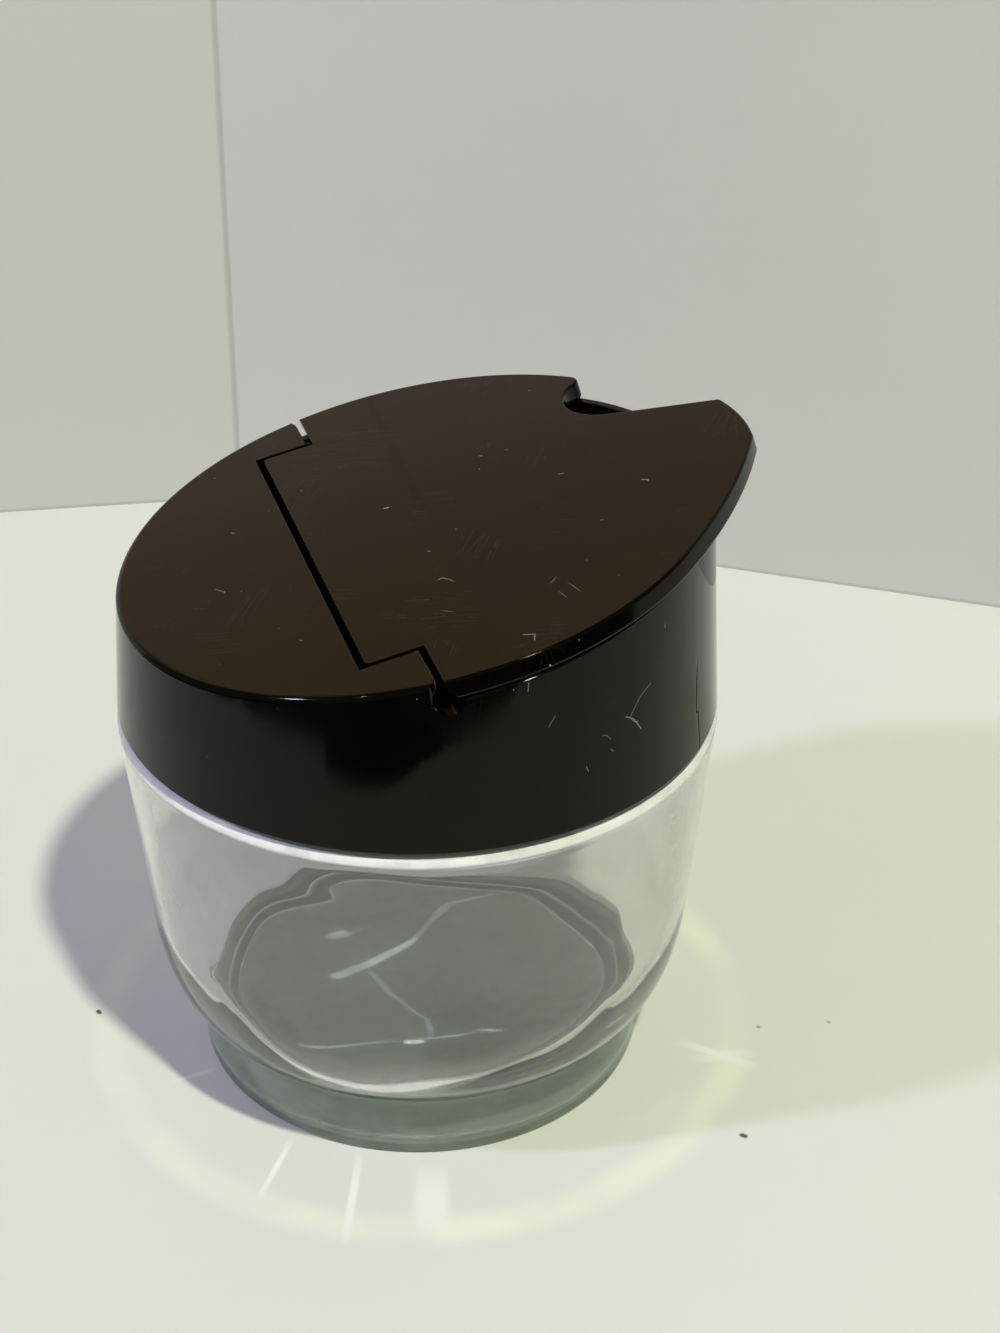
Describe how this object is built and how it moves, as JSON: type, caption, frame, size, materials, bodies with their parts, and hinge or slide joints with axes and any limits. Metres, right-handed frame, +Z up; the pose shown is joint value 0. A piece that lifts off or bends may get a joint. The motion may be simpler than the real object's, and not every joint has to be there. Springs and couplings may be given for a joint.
{
  "type": "condiment jar",
  "caption": "Clear round glass jar with a brown screw cap; its sloping flip lid has a thumb beak and a notch for a spoon handle.",
  "frame": {"origin": "middle of the outline's base, on the plane the foot stands on; the jar's axis is 2.5 mm behind it", "axes": "+Z up along the jar's axis; -Y towards the lid's thumb beak and the high side of the cap; +X towards the spoon notch"},
  "size_m": [0.0824, 0.0874, 0.0916],
  "materials": {
    "clear_glass": "clear pressed glass, faintly green where it is thick",
    "brown_plastic": "glossy very dark brown moulding, lightly scratched"
  },
  "bodies": {
    "jar": {"glass_jar": "clear_glass"},
    "cap": {"screw_cap": "brown_plastic"},
    "lid": {"flip_lid": "brown_plastic"}
  },
  "joints": [
    {"name": "cap_lift", "type": "slide", "parent": "jar", "child": "cap", "axis": [0, 0, 1], "range_m": [0, 0.03]},
    {"name": "lid_hinge", "type": "hinge", "parent": "cap", "child": "lid", "pos_m": [0, 0.0134, 0.07756], "axis": [-1, 0, 0], "range_deg": [0, 122]}
  ]
}
